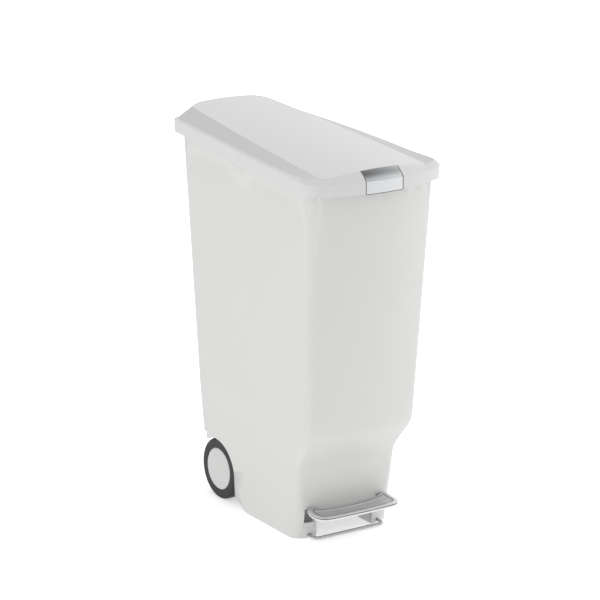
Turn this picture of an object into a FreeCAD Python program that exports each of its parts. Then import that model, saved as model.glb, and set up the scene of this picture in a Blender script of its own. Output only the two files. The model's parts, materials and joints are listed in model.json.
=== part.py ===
import FreeCAD, Part
import math
import os

# A slim pedal bin: a tall tapered plastic tub on two rear wheels, a wedge-shaped lid hinged inside its
# rear overhang, and a steel foot pedal whose lever pushes a rod up the back of the tub to open the lid.
# Millimetres. +X is the bin's width, +Y its back, +Z up. The origin is on the floor, under the middle of
# the bounding box. Places along the depth are "stations": distances behind the line through the two front
# corners of the lid. The function at() turns a station into Y.

# ---- Lid ---------------------------------------------------------------------------------------------
LID_FRONT = -22.0          # station of the middle of the bowed front
LID_REAR = 454.0           # station of the middle of the bowed rear
LID_CORNER_FRONT = 5.0     # station of the front corners
LID_CORNER_REAR = 444.5    # station of the rear corners
LID_HALF_FRONT = 126.8     # half-width across the front corners
LID_HALF_REAR = 103.0      # half-width across the rear corners
LID_R_FRONT = 26.0         # plan radius of the front corners
LID_R_REAR = 24.0          # plan radius of the rear corners
LID_SIDE_BOW = 5.0         # the sides swell outwards by this much
LID_WALL = 3.0
SKIRT_TOP = 607.1          # height of the skirt's upper edge at the middle of the front
LID_CROWN = 42.9           # the middle of the rear top edge is this much higher
LID_TOP = SKIRT_TOP + LID_CROWN
SKIRT_RISE = 0.0683        # its rise towards the rear, per millimetre, at the front
SKIRT_ARCH = 0.000055      # and the fall away from that slope, per square millimetre
SKIRT_HEIGHT = 19.5
ROOF_HALF_FRONT = 97.0     # the sloping roof panel inside the facets
ROOF_HALF_REAR = 71.0
ROOF_CORNER_FRONT = 11.0
ROOF_CORNER_REAR = 441.5
ROOF_BOW_FRONT = 16.5
ROOF_BOW_REAR = 4.0
ROOF_SIDE_BOW = 3.0
ROOF_R_FRONT = 16.0
ROOF_R_REAR = 30.0
ROOF_RISE = 0.0586         # slope of the roof's middle line
ROOF_ARCH_FRONT = 465.0    # radius of the roof's arch across its width, at the front
ROOF_ARCH_REAR = 860.0     # and at the rear, where it is flatter
ROOF_TRIM = 0.4            # the arch is cut this far under the facets' upper edge

# ---- Finger tab --------------------------------------------------------------------------------------
TAB_HALF = 33.7
TAB_SEAM = 1.2             # open joint down each side of the tab
TAB_DEPTH = 1.6            # recess in the lid; the tab lies flush in it
TAB_END = -5.3              # station where the tab stops, on the roof's front edge

# ---- Tub ---------------------------------------------------------------------------------------------
TUB_WALL = 3.0
# height, half-width at the front, half-width at the rear, station of the front corners, bow, corner radius
TUB_LEVELS = [
    (0.0, 91.5, 91.5, 94.0, 15.0, 20.0),
    (131.0, 97.0, 97.0, 76.9, 9.0, 15.0),
    (184.0, 103.0, 98.5, 36.7, 12.0, 12.0),
    (583.0, 115.3, 99.5, 10.2, 21.0, 12.0),
]
FOLD_SOFT = 11.0           # each fold of the toe recess is rounded over this height, above and below
TUB_REAR_FOOT = 356.5      # station of the rear wall, produced down to the floor
TUB_REAR_LEAN = 0.0995
TUB_REAR_BOW = 1.0
TUB_R_REAR = 12.0
TUB_TOP_GAP = 8.0          # the tub's top edge lies this far under the skirt's upper edge
BUMPER_X = 78.0            # the lid's two soft pads land on the top edge here
BUMPER_R = 4.5
BUMPER_GAP = 0.3
BEAD = 2.5                 # bead round the top edge
BEAD_HEIGHT = 5.0
FLOOR_FRONT = 80.0         # height of the tub's floor ahead of the wheels
FLOOR_REAR = 117.0         # height of the tub's floor over the wheels
WELL_REAR = 258.0          # station where the low floor ends
STEP_STATION = 351.5       # under STEP_HEIGHT the rear wall stands forward
STEP_HEIGHT = 110.0
LIFT_START = 233.5         # the bottom edge leaves the floor here
LIFT_HEIGHT = 19.0

# ---- Wheels ------------------------------------------------------------------------------------------
WHEEL_STATION = 323.0
TYRE_R = 51.6
HUB_R = 35.6
TYRE_IN = 70.5             # inner and outer faces of the tyre, from the middle of the bin
TYRE_OUT = 91.0
TYRE_EDGE = 4.5            # shoulder radius
CAP_OUT = 92.0
CAP_THICK = 2.6
ARCH_GAP = 2.4             # gap between tyre and arch
ARCH_FRONT = 269.5         # the arch's front edge drops straight down at this station
WHEEL_PIN_R = 4.0
RUNNING_GAP = 0.05         # radial clearance of every turning bore
WELL_WALL_IN = 63.0        # inner wall of each wheel well
WELL_WALL_OUT = 66.0
HUB_BOSS_R = 12.0
HUB_BOSS_IN = 55.0

# ---- Lid hinge ---------------------------------------------------------------------------------------
HINGE_STATION = 428.5
HINGE_DROP = 1.1           # the hinge's axis lies this far under the front of the skirt's upper edge
HINGE_Z = SKIRT_TOP - HINGE_DROP
HINGE_PIN_R = 3.0
KNUCKLE_R = 8.0
KNUCKLE_X = (58.0, 70.0)
EAR_THICK = 4.5
EAR_GAP = 0.5
LID_OPENS = 72.0           # degrees

# ---- Lift rod and the lever pin that it drives -------------------------------------------------------
CRANK = 35.0               # hinge axis to lever pin; it swings evenly below and above the level
ROD_R = 3.0
SMALL_PIN_R = 2.5
YOKE_HALF = 2.5            # half-thickness of the rod's two slotted ends
SLOT_GAP = 0.35            # play of a pin in its slot at the tightest point
CHEEK = (3.5, 7.0)         # the pair of cheeks on the lid lever
LEVER_BOSS_R = 6.5
CHANNEL_HALF = 13.0        # channel in the tub's rear wall for the rod
CHANNEL_DEPTH = 34.0
GUIDE_HEIGHT = 14.0
GUIDE_LEVELS = (168.0, 470.0)
GUIDE_GAP = 0.3

# ---- Pedal -------------------------------------------------------------------------------------------
PIVOT_STATION = 160.0
PIVOT_Z = 48.0
PEDAL_AXLE_R = 4.0
BUSH_R = 5.5
BUSH_X = (59.0, 75.0)
ARM_X = (60.0, 74.0)       # the lever's two flat side arms
ARM_THICK = 4.0
LEVER_HEIGHT = 10.0        # upright height of the cross bar and the tongue
ARM_BOSS_R = 9.0
CROSS_STATION = 178.0      # cross bar that joins the side arms
STRIP = 3.0                # thickness of the lever's steel strip
TONGUE_X = (3.5, 6.5)      # twin strips of the tongue
TREAD_HALF = 78.0
TREAD_FRONT = 32.0
TREAD_BOW = 3.5
TREAD_REAR = 68.5
TREAD_Z = 44.5
TREAD_HEIGHT = 6.5
TREAD_SHEET = 1.6
TREAD_RIM = 3.2
TREAD_LIP = 0.9            # the tread's plate lies this far above its lower edge
TREAD_R_FRONT = 20.0
TREAD_R_REAR = 7.0

# ---- Front legs and floor bar ------------------------------------------------------------------------
NOTCH_HALF = 54.0
NOTCH_HEIGHT = 42.0
NOTCH_REAR = 144.0         # the notch's side walls end here
SLOT_X = (57.5, 76.5)      # slots that the pedal's arms pass through
SLOT_Z = (18.0, 57.0)
AXLE_RIB_X = (80.0, 83.0)
CLIP_THICK = 1.5
AXLE_END = 1.5             # the pedal axle stands out of its clips by this much
PEDAL_AXLE_HALF = AXLE_RIB_X[1] + CLIP_THICK + AXLE_END
BAR_R = 2.5
BAR_HALF = 66.0
BAR_FRONT = 67.0
BAR_REAR = 120.0
BAR_BEND = 8.0
BAR_Z = 4.5
SOCKET_HALF = 5.5
SOCKET_HEIGHT = 14.0

V = FreeCAD.Vector
X_AXIS = V(1, 0, 0)
CENTRE = (LID_FRONT + LID_REAR) / 2
FAR = 400.0                # cutting shapes run past everything by this much
DEPTH_RANGE = (-FAR, FAR + CENTRE)
OVER_LID = LID_TOP + FAR


# ---- Helpers -----------------------------------------------------------------------------------------
def at(x, station, z):
    """The point at this half-width, station and height."""
    return V(x, station - CENTRE, z)


def box(x, station, z):
    """A box from three (low, high) pairs."""
    size = (x[1] - x[0], station[1] - station[0], z[1] - z[0])
    return Part.makeBox(size[0], size[1], size[2], at(x[0], station[0], z[0]))


def pair(x):
    """The two mirrored (low, high) pairs of a (near, far) pair of half-widths."""
    return (x, (-x[1], -x[0]))


def rod_x(x, station, z, radius):
    """A cylinder along X between two half-widths."""
    return Part.makeCylinder(radius, x[1] - x[0], at(x[0], station, z), X_AXIS)


def prism_x(points, x):
    """A closed (station, height) polygon carried along X."""
    corners = [at(x[0], s, z) for s, z in points]
    face = Part.Face(Part.makePolygon(corners + corners[:1]))
    return face.extrude(V(x[1] - x[0], 0, 0))


def slot_x(station, z, half_height, x):
    """A rounded slot through X, level, between two (station) centres."""
    solid = box(x, station, (z - half_height, z + half_height))
    for end in station:
        solid = solid.fuse(rod_x(x, end, z, half_height))
    return solid


def join(first, others):
    """One solid from pieces that touch or overlap."""
    return first.multiFuse(others).removeSplitter()


def cut(solid, tools):
    """The solid with every tool taken away."""
    for tool in tools:
        solid = solid.cut(tool)
    return solid


def write(name, shape):
    """Write one sub-part as a STEP file of its solids."""
    solids = shape.Solids
    out = solids[0] if len(solids) == 1 else Part.makeCompound(solids)
    out.exportStep("parts/" + name + ".step")
    print(name, len(solids), "solids", round(out.Volume / 1000, 2), "cm3", out.isValid())


def round_corner(corner, way_in, way_out, radius):
    """Start, middle and end of an arc that rounds a plan corner between two unit directions."""
    turn = math.acos(way_in[0] * way_out[0] + way_in[1] * way_out[1])
    reach = radius * math.tan(turn / 2)
    start = (corner[0] - way_in[0] * reach, corner[1] - way_in[1] * reach)
    end = (corner[0] + way_out[0] * reach, corner[1] + way_out[1] * reach)
    mid = ((start[0] + end[0]) / 2, (start[1] + end[1]) / 2)
    towards = (corner[0] - mid[0], corner[1] - mid[1])
    sagitta = radius * (1 - math.cos(turn / 2)) / math.hypot(*towards)
    return start, (mid[0] + towards[0] * sagitta, mid[1] + towards[1] * sagitta), end


def outline(front, rear, height, side_bow=0.0):
    """A closed plan outline, alike left and right, with height(x, station) at every point.

    front and rear are (half-width, station of the corners, bow outwards, corner radius).
    Its eight edges are the bowed front, the two sides, the bowed rear and four corner arcs.
    """
    run, span = rear[1] - front[1], rear[0] - front[0]
    length = math.hypot(run, span)
    heading, swell = math.atan2(run, span), 2 * math.atan(2 * side_bow / length)
    slant_front, slant_rear = 2 * math.atan(front[2] / front[0]), 2 * math.atan(rear[2] / rear[0])

    def unit(angle):
        return (math.cos(angle), math.sin(angle))

    f0, f1, f2 = round_corner(front[:2], unit(slant_front), unit(heading - swell), front[3])
    r0, r1, r2 = round_corner(rear[:2], unit(heading + swell), unit(math.pi - slant_rear), rear[3])
    side = ((f2[0] + r0[0]) / 2 + side_bow * math.sin(heading), (f2[1] + r0[1]) / 2)

    def place(point, sign=1):
        return at(sign * point[0], point[1], height(point[0], point[1]))

    def arc(a, b, c):
        bend = (b - a).cross(c - b).Length / (c - a).Length
        return Part.Arc(a, b, c).toShape() if bend > 0.02 else Part.LineSegment(a, c).toShape()

    nose, tail = (0.0, front[1] - front[2]), (0.0, rear[1] + rear[2])
    edges = [
        arc(place(f0, -1), place(nose), place(f0)),
        arc(place(f0), place(f1), place(f2)),
        arc(place(f2), place(side), place(r0)),
        arc(place(r0), place(r1), place(r2)),
        arc(place(r2), place(tail), place(r2, -1)),
        arc(place(r2, -1), place(r1, -1), place(r0, -1)),
        arc(place(r0, -1), place(side, -1), place(f2, -1)),
        arc(place(f2, -1), place(f1, -1), place(f0, -1)),
    ]
    return Part.Wire(edges)


def level(z):
    """A height function that is the same everywhere."""
    return lambda x, station: z


# ---- Lid ---------------------------------------------------------------------------------------------
def skirt_top(x, station):
    back = station - LID_FRONT
    return SKIRT_TOP + SKIRT_RISE * back - SKIRT_ARCH * back ** 2


def over_rim(drop):
    """Everything above the line of the skirt's upper edge, which arches to the rear, lowered by drop."""
    def edge(station):
        return at(-FAR, station, skirt_top(0, station) - drop)

    near, far, high = LID_FRONT - 40, LID_REAR + 40, LID_TOP + 200
    arch = Part.Arc(edge(near), edge(CENTRE), edge(far)).toShape()
    base = Part.makePolygon([edge(far), at(-FAR, far, high), at(-FAR, near, high), edge(near)])
    return Part.Face(Part.Wire([arch] + base.Edges)).extrude(V(2 * FAR, 0, 0))


def arch_radius(station):
    """Radius of the roof's arch, from one curvature at the front to another at the rear."""
    share = (station - LID_FRONT) / (LID_REAR - LID_FRONT)
    return 1 / ((1 - share) / ROOF_ARCH_FRONT + share / ROOF_ARCH_REAR)


def roof(x, station):
    """The roof's height: a line that rises to the rear, less the fall of the arch to each side."""
    radius = arch_radius(station)
    return LID_TOP - ROOF_RISE * (LID_REAR - station) - radius + math.sqrt(radius ** 2 - x ** 2)


def under_roof(drop):
    """Everything under the arched roof, lowered by drop."""
    half, low = LID_HALF_FRONT + 15, SKIRT_TOP - 200

    def section(station):
        edge, top = roof(half, station) - drop, roof(0, station) - drop
        arch = Part.Arc(at(-half, station, edge), at(0, station, top), at(half, station, edge)).toShape()
        base = Part.makePolygon([at(half, station, edge), at(half, station, low),
                                 at(-half, station, low), at(-half, station, edge)])
        return Part.Wire([arch] + base.Edges)

    return Part.makeLoft([section(LID_FRONT - 30), section(LID_REAR + 30)], True, True)


def lid_form(inset, foot=0.0):
    """The lid's outer form, shrunk by inset on every face; foot produces it downwards."""
    nose, tail = LID_CORNER_FRONT - LID_FRONT, LID_REAR - LID_CORNER_REAR
    front = (LID_HALF_FRONT - inset, LID_CORNER_FRONT + inset, nose, LID_R_FRONT - inset)
    rear = (LID_HALF_REAR - inset, LID_CORNER_REAR - inset, tail, LID_R_REAR - inset)
    roof_front = (ROOF_HALF_FRONT - inset / 3, ROOF_CORNER_FRONT + inset / 2, ROOF_BOW_FRONT, ROOF_R_FRONT)
    roof_rear = (ROOF_HALF_REAR - inset / 3, ROOF_CORNER_REAR - inset, ROOF_BOW_REAR, ROOF_R_REAR - inset)
    form = Part.makeLoft([
        outline(front, rear, level(SKIRT_TOP - 2 * SKIRT_HEIGHT - foot), LID_SIDE_BOW),
        outline(front, rear, lambda x, s: skirt_top(x, s) - inset * 0.9, LID_SIDE_BOW),
        outline(roof_front, roof_rear, lambda x, s: roof(x, s) - inset, ROOF_SIDE_BOW),
        outline(roof_front, roof_rear, level(LID_TOP + 30), ROOF_SIDE_BOW),
    ], True, True)
    return form.common(under_roof(inset + ROOF_TRIM)).common(over_rim(SKIRT_HEIGHT + foot))


LID_OUTSIDE = lid_form(0.0)
LID_INSIDE = lid_form(LID_WALL, 40.0)
TAB_ROOM = box((-FAR, FAR), (LID_FRONT - 10, TAB_END), (SKIRT_TOP - 60, LID_TOP))


def tab_band(half, depth):
    """The outer skin of the lid's front, this deep and this far to each side."""
    band = box((-half, half), (LID_FRONT - 10, TAB_END), (SKIRT_TOP - 60, LID_TOP))
    return LID_OUTSIDE.common(band).cut(lid_form(depth, 5.0))


def make_lid():
    """The moulded lid with its tab recess and its two hinge knuckles."""
    shell = LID_OUTSIDE.cut(LID_INSIDE).cut(tab_band(TAB_HALF + TAB_SEAM, TAB_DEPTH))
    knuckles = []
    for x in pair(KNUCKLE_X):
        web = box(x, (HINGE_STATION - KNUCKLE_R / 2, HINGE_STATION + KNUCKLE_R), (HINGE_Z, LID_TOP))
        knuckles.append(web.fuse(rod_x(x, HINGE_STATION, HINGE_Z, KNUCKLE_R)).common(LID_INSIDE))
    bore = rod_x((-FAR, FAR), HINGE_STATION, HINGE_Z, HINGE_PIN_R + RUNNING_GAP)
    outer = KNUCKLE_X[1] + EAR_THICK
    bore = bore.common(box((-outer, outer), (0, FAR + CENTRE), (0, LID_TOP)))
    return join(shell, knuckles).cut(bore)


def make_tab():
    """The chrome tab let into the front of the lid."""
    return tab_band(TAB_HALF, TAB_DEPTH - 0.1)


# ---- Crank and rod geometry --------------------------------------------------------------------------
HALF_SWING = math.radians(LID_OPENS / 2)
LUG_STATION = HINGE_STATION - CRANK * math.cos(HALF_SWING)
LUG_Z = HINGE_Z - CRANK * math.sin(HALF_SWING)
ROD_RISE = 2 * CRANK * math.sin(HALF_SWING)
LEVER_DROP = ROD_RISE / 2


def rod_station(z):
    """Station of the rod's centre line, which leans like the tub's rear wall."""
    return LUG_STATION - TUB_REAR_LEAN * (LUG_Z - z)


FOOT_Z = PIVOT_Z - LEVER_DROP
FOOT_STATION = rod_station(FOOT_Z)
LUG_SWEEP = CRANK * (1 - math.cos(HALF_SWING)) + TUB_REAR_LEAN * ROD_RISE / 2
LUG_RIPPLE = 0.016 * CRANK          # how far the crank's rise strays from an even one


def make_lid_lever():
    """The bracket under the roof, whose two cheeks carry the lever pin."""
    plate_half = CHEEK[1] + 6
    span = (HINGE_STATION - 28, HINGE_STATION)
    seat = under_roof(LID_WALL + ROOF_TRIM).cut(under_roof(LID_WALL + ROOF_TRIM + STRIP))
    plate = seat.common(box((-plate_half, plate_half), span, (HINGE_Z, LID_TOP)))
    cheeks = []
    for x in pair(CHEEK):
        web = prism_x([
            (LUG_STATION - 5, LUG_Z - 4),
            (span[0] + 1, LID_TOP),
            (span[1] - 4, LID_TOP),
            (LUG_STATION + 6, LUG_Z - 2),
        ], x)
        cheeks.append(web.fuse(rod_x(x, LUG_STATION, LUG_Z, LEVER_BOSS_R)).common(LID_INSIDE))
    return join(plate, cheeks).cut(rod_x((-FAR, FAR), LUG_STATION, LUG_Z, SMALL_PIN_R))


# ---- Tub ---------------------------------------------------------------------------------------------
def along_levels(column, z):
    """A column of TUB_LEVELS at height z, straight between the levels and past the last one."""
    levels = TUB_LEVELS
    for low, high in zip(levels, levels[1:]):
        if z <= high[0] or high is levels[-1]:
            return low[column] + (high[column] - low[column]) * (z - low[0]) / (high[0] - low[0])


def soft(column, z):
    """The same, with its corners rounded over FOLD_SOFT above and below."""
    near = along_levels(column, z - FOLD_SOFT) + along_levels(column, z + FOLD_SOFT)
    return (near + 2 * along_levels(column, z)) / 4


def tub_outline(z, inset):
    """The tub's plan outline at height z, shrunk by inset."""
    front = (soft(1, z) - inset, soft(3, z) + inset, soft(4, z), max(soft(5, z) - inset, 4.0))
    rear = (soft(2, z) - inset, TUB_REAR_FOOT + TUB_REAR_LEAN * z - inset, TUB_REAR_BOW, TUB_R_REAR - inset)
    return outline(front, rear, level(z))


def tub_form(inset, heights):
    return Part.makeLoft([tub_outline(z, inset) for z in heights], True, True)


def fold_heights():
    """Levels for the lofts: three at each fold, and the ends."""
    folds = [z for fold in TUB_LEVELS[1:-1] for z in (fold[0] - FOLD_SOFT, fold[0], fold[0] + FOLD_SOFT)]
    return [0.0] + folds + [400.0, LID_TOP + 20]


def make_bumpers():
    """Two soft pads under the front of the lid, which land on the tub's upper edge."""
    pads = []
    for sign in (-1, 1):
        height = skirt_top(0, LID_CORNER_FRONT)
        share = BUMPER_X / soft(1, height)
        station = soft(3, height) - soft(4, height) * (1 - share ** 2)
        low = skirt_top(0, station + BUMPER_R) - TUB_TOP_GAP + BUMPER_GAP
        pad = Part.makeCylinder(BUMPER_R, 40, at(sign * BUMPER_X, station, low))
        pads.append(pad.common(LID_INSIDE))
    return Part.makeCompound(pads)


def rear_strip(z_low, z_high, near, far):
    """A (station, height) polygon parallel to the rear wall, near and far ahead of its face."""
    def wall(z):
        return TUB_REAR_FOOT + TUB_REAR_LEAN * z
    return [(wall(z_low) - near, z_low), (wall(z_high) - near, z_high),
            (wall(z_high) - far, z_high), (wall(z_low) - far, z_low)]


def tub_room():
    """The space for rubbish: over a low floor in front and a high floor at the rear."""
    inside = tub_form(TUB_WALL, fold_heights())
    high = box((-FAR, FAR), DEPTH_RANGE, (FLOOR_REAR, OVER_LID))
    low = box((-FAR, FAR), (-FAR, WELL_REAR), (FLOOR_FRONT, OVER_LID))
    bump = CHANNEL_HALF + TUB_WALL
    chase = prism_x(rear_strip(0, LID_TOP + 40, CHANNEL_DEPTH + TUB_WALL, -20), (-bump, bump))
    return inside.common(high.fuse(low)).cut(chase)


def tub_underside():
    """The hollow under the floor."""
    inside = tub_form(TUB_WALL, fold_heights())
    rear = STEP_STATION - TUB_WALL
    front = box((-FAR, FAR), (-FAR, rear), (-FAR, FLOOR_FRONT - TUB_WALL))
    back = box((-FAR, FAR), (WELL_REAR + TUB_WALL, rear), (-FAR, FLOOR_REAR - TUB_WALL))
    return inside.common(front.fuse(back))


def wheel_cuts():
    """The arch in each side panel, and the bottom edge that lifts clear ahead of the wheels."""
    arch_r = TYRE_R + ARCH_GAP
    tools = []
    for x in pair((WELL_WALL_OUT, FAR)):
        tools.append(rod_x(x, WHEEL_STATION, TYRE_R, arch_r))
        tools.append(box(x, (ARCH_FRONT, FAR + CENTRE), (-10, TYRE_R)))
    lift = [(LIFT_START, 0), (ARCH_FRONT, LIFT_HEIGHT), (600, LIFT_HEIGHT), (600, -10), (LIFT_START, -10)]
    tools.append(prism_x(lift, (-FAR, FAR)))
    return tools


def tub_ribs():
    """Walls and bosses under the floor: wheel wells, leg walls, axle ribs and floor bar sockets."""
    ceiling = FLOOR_FRONT - TUB_WALL
    ribs = []
    for x in pair((WELL_WALL_IN, WELL_WALL_OUT)):
        ribs.append(box(x, (ARCH_FRONT - TUB_WALL, STEP_STATION - TUB_WALL), (LIFT_HEIGHT, FLOOR_REAR - TUB_WALL)))
    for x in pair((HUB_BOSS_IN, WELL_WALL_OUT)):
        ribs.append(rod_x(x, WHEEL_STATION, TYRE_R, HUB_BOSS_R))
    for x in pair((WELL_WALL_IN, soft(1, TYRE_R) - 1)):
        ribs.append(box(x, (ARCH_FRONT - TUB_WALL, ARCH_FRONT), (LIFT_HEIGHT, ceiling)))
    leg_front = soft(3, 0) - 4
    for x in pair((NOTCH_HALF, NOTCH_HALF + TUB_WALL)):
        ribs.append(box(x, (leg_front, NOTCH_REAR), (0, ceiling)))
    for x in pair(AXLE_RIB_X):
        ribs.append(box(x, (PIVOT_STATION - 12, PIVOT_STATION + 12), (PIVOT_Z - 10, ceiling)))
    socket = (NOTCH_HALF, BAR_HALF + SOCKET_HALF)
    for x in pair(socket):
        ribs.append(box(x, (BAR_REAR - 22, BAR_REAR), (0, SOCKET_HEIGHT)))
    return ribs


def hinge_ears():
    """Two pairs of ears behind the rear wall that hold the hinge pins."""
    wall = TUB_REAR_FOOT + TUB_REAR_LEAN * HINGE_Z
    near = KNUCKLE_X[0] - EAR_GAP
    far = KNUCKLE_X[1] + EAR_GAP
    ears = []
    for x in pair((near - EAR_THICK, near)) + pair((far, far + EAR_THICK)):
        arm = prism_x([
            (wall - 3, HINGE_Z - 30),
            (HINGE_STATION + KNUCKLE_R * 0.7, HINGE_Z - KNUCKLE_R * 0.7),
            (HINGE_STATION, HINGE_Z + KNUCKLE_R),
            (wall - 3, HINGE_Z - 1),
        ], x)
        ears.append(arm.fuse(rod_x(x, HINGE_STATION, HINGE_Z, KNUCKLE_R)))
    return ears


def make_tub():
    """The one-piece moulded tub."""
    heights = fold_heights()
    bead = tub_form(-BEAD, [500.0, LID_TOP + 20]).common(over_rim(TUB_TOP_GAP + BEAD_HEIGHT))
    body = tub_form(0.0, heights).fuse(bead).cut(over_rim(TUB_TOP_GAP))
    step = box((-FAR, FAR), (STEP_STATION, 600), (-10, STEP_HEIGHT))
    body = cut(body, [step, tub_room(), tub_underside()])
    ribs = [rib.common(tub_form(0.5, heights)) for rib in tub_ribs()]
    body = join(body, ribs + hinge_ears())
    channel = prism_x(rear_strip(-10, LID_TOP + 40, CHANNEL_DEPTH, -20), (-CHANNEL_HALF, CHANNEL_HALF))
    tools = wheel_cuts() + [channel]
    tools.append(box((-NOTCH_HALF, NOTCH_HALF), (0, NOTCH_REAR - 4), (-10, NOTCH_HEIGHT)))
    for x in pair(SLOT_X):
        tools.append(box(x, (0, NOTCH_REAR - 4), SLOT_Z))
    for x in pair((BAR_HALF - BAR_R - 0.3, BAR_HALF + BAR_R + 0.3)):
        tools.append(box(x, (0, BAR_REAR - 24), (-10, BAR_Z + BAR_R + 0.3)))
    for sign in (-1, 1):
        start = at(sign * BAR_HALF, BAR_REAR - 40, BAR_Z)
        tools.append(Part.makeCylinder(BAR_R, 60, start, V(0, 1, 0)))
    tools.append(rod_x((-PEDAL_AXLE_HALF, PEDAL_AXLE_HALF), PIVOT_STATION, PIVOT_Z, PEDAL_AXLE_R))
    for x in pair((HUB_BOSS_IN - 5, WELL_WALL_OUT + 1)):
        tools.append(rod_x(x, WHEEL_STATION, TYRE_R, WHEEL_PIN_R))
    pin_reach = KNUCKLE_X[1] + EAR_GAP + EAR_THICK + 5
    tools.append(rod_x((-pin_reach, pin_reach), HINGE_STATION, HINGE_Z, HINGE_PIN_R))
    return cut(body, tools)


# ---- Pins, nuts and the floor bar --------------------------------------------------------------------
def make_hinge_pin(sign):
    """A headed steel pin through one pair of ears."""
    inner = KNUCKLE_X[0] - EAR_GAP - EAR_THICK - 1.5
    outer = KNUCKLE_X[1] + EAR_GAP + EAR_THICK
    shank = (inner, outer) if sign > 0 else (-outer, -inner)
    head = (outer, outer + 1.8) if sign > 0 else (-outer - 1.8, -outer)
    pin = rod_x(shank, HINGE_STATION, HINGE_Z, HINGE_PIN_R)
    return join(pin, [rod_x(head, HINGE_STATION, HINGE_Z, HINGE_PIN_R + 2)])


def make_wheel_pin(sign):
    """A stub axle with a flange that keeps the wheel on."""
    flange = (TYRE_OUT - 4.0, TYRE_OUT - 2.4)
    shank = (HUB_BOSS_IN - 4, flange[0])
    if sign < 0:
        shank, flange = (-shank[1], -shank[0]), (-flange[1], -flange[0])
    pin = rod_x(shank, WHEEL_STATION, TYRE_R, WHEEL_PIN_R)
    return join(pin, [rod_x(flange, WHEEL_STATION, TYRE_R, WHEEL_PIN_R + 3)])


def make_wheel_nut(sign):
    """The spring nut pushed on to the inner end of a stub axle."""
    x = (HUB_BOSS_IN - 2, HUB_BOSS_IN) if sign > 0 else (-HUB_BOSS_IN, -HUB_BOSS_IN + 2)
    return rod_x(x, WHEEL_STATION, TYRE_R, 9.0).cut(rod_x(x, WHEEL_STATION, TYRE_R, WHEEL_PIN_R))


def make_axle_clips():
    """Two clips on the pedal axle, outside the axle ribs."""
    clips = []
    for x in pair((AXLE_RIB_X[1], AXLE_RIB_X[1] + CLIP_THICK)):
        disc = rod_x(x, PIVOT_STATION, PIVOT_Z, 7.5).cut(rod_x(x, PIVOT_STATION, PIVOT_Z, PEDAL_AXLE_R))
        mouth = box(x, (PIVOT_STATION - 2.5, PIVOT_STATION + 2.5), (PIVOT_Z - 10, PIVOT_Z))
        clips.append(disc.cut(mouth))
    return Part.makeCompound(clips)


def make_floor_bar():
    """The wire loop in front of the legs, one round bar with two bends."""
    inner = BAR_HALF - BAR_BEND
    turn = BAR_BEND * (1 - math.sqrt(0.5))

    def point(x, station):
        return at(x, station, BAR_Z)

    path = Part.Wire([
        Part.LineSegment(point(-BAR_HALF, BAR_REAR), point(-BAR_HALF, BAR_FRONT + BAR_BEND)).toShape(),
        Part.Arc(point(-BAR_HALF, BAR_FRONT + BAR_BEND), point(turn - BAR_HALF, BAR_FRONT + turn),
                 point(-inner, BAR_FRONT)).toShape(),
        Part.LineSegment(point(-inner, BAR_FRONT), point(inner, BAR_FRONT)).toShape(),
        Part.Arc(point(inner, BAR_FRONT), point(BAR_HALF - turn, BAR_FRONT + turn),
                 point(BAR_HALF, BAR_FRONT + BAR_BEND)).toShape(),
        Part.LineSegment(point(BAR_HALF, BAR_FRONT + BAR_BEND), point(BAR_HALF, BAR_REAR)).toShape(),
    ])
    section = Part.Wire([Part.makeCircle(BAR_R, point(-BAR_HALF, BAR_REAR), V(0, -1, 0))])
    return path.makePipeShell([section], True, True)


# ---- Wheels ------------------------------------------------------------------------------------------
def turned(profile, sign):
    """A closed (distance from the middle, radius) polygon turned about the wheel's axis."""
    corners = [at(sign * x, WHEEL_STATION, TYRE_R + r) for x, r in profile]
    face = Part.Face(Part.makePolygon(corners + corners[:1]))
    return face.revolve(at(0, WHEEL_STATION, TYRE_R), X_AXIS, 360)


def make_tyre(sign):
    """The rubber tyre: a ring with rounded shoulders."""
    ring = turned([(TYRE_IN, HUB_R), (TYRE_OUT, HUB_R), (TYRE_OUT, TYRE_R), (TYRE_IN, TYRE_R)], sign)
    shoulders = [e for e in ring.Edges if abs(e.BoundBox.ZLength - 2 * TYRE_R) < 0.01 and len(e.Vertexes) == 1]
    return ring.makeFillet(TYRE_EDGE, shoulders)


def make_hub(sign):
    """The wheel's core: a rim, a web and a sleeve that runs on the stub axle."""
    bore = WHEEL_PIN_R + RUNNING_GAP
    face = CAP_OUT - CAP_THICK
    return turned([
        (WELL_WALL_OUT + 0.5, bore), (TYRE_OUT - 4.4, bore), (TYRE_OUT - 4.4, 9.0), (82.0, 9.0),
        (82.0, 30.0), (face, 31.0), (face, HUB_R), (TYRE_IN, HUB_R), (TYRE_IN, 31.0), (78.0, 30.0),
        (78.0, 9.0), (WELL_WALL_OUT + 0.5, 9.0),
    ], sign)


def make_cap(sign):
    """The smooth disc over the wheel, with the ring that snaps into the hub."""
    face = CAP_OUT - CAP_THICK
    return turned([
        (face + 0.4, 0.0), (face, 26.0), (83.0, 26.0), (83.0, 28.5), (face, 28.5),
        (face, HUB_R), (face + 0.8, HUB_R), (CAP_OUT - 0.5, HUB_R - 1.6), (CAP_OUT, HUB_R - 5.0), (CAP_OUT, 0.0),
    ], sign)


# ---- Lift rod ----------------------------------------------------------------------------------------
def rod_between(low, high, radius):
    """A cylinder on the rod's centre line between two heights."""
    start, end = at(0, rod_station(low), low), at(0, rod_station(high), high)
    way = end.sub(start)
    return Part.makeCylinder(radius, way.Length, start, way)


ROD_LOW = FOOT_Z + 8.0
ROD_HIGH = LUG_Z - LEVER_BOSS_R - 6.0


def make_rod():
    """The plain round rod between the two slotted ends."""
    return rod_between(ROD_LOW, ROD_HIGH, ROD_R)


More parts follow.
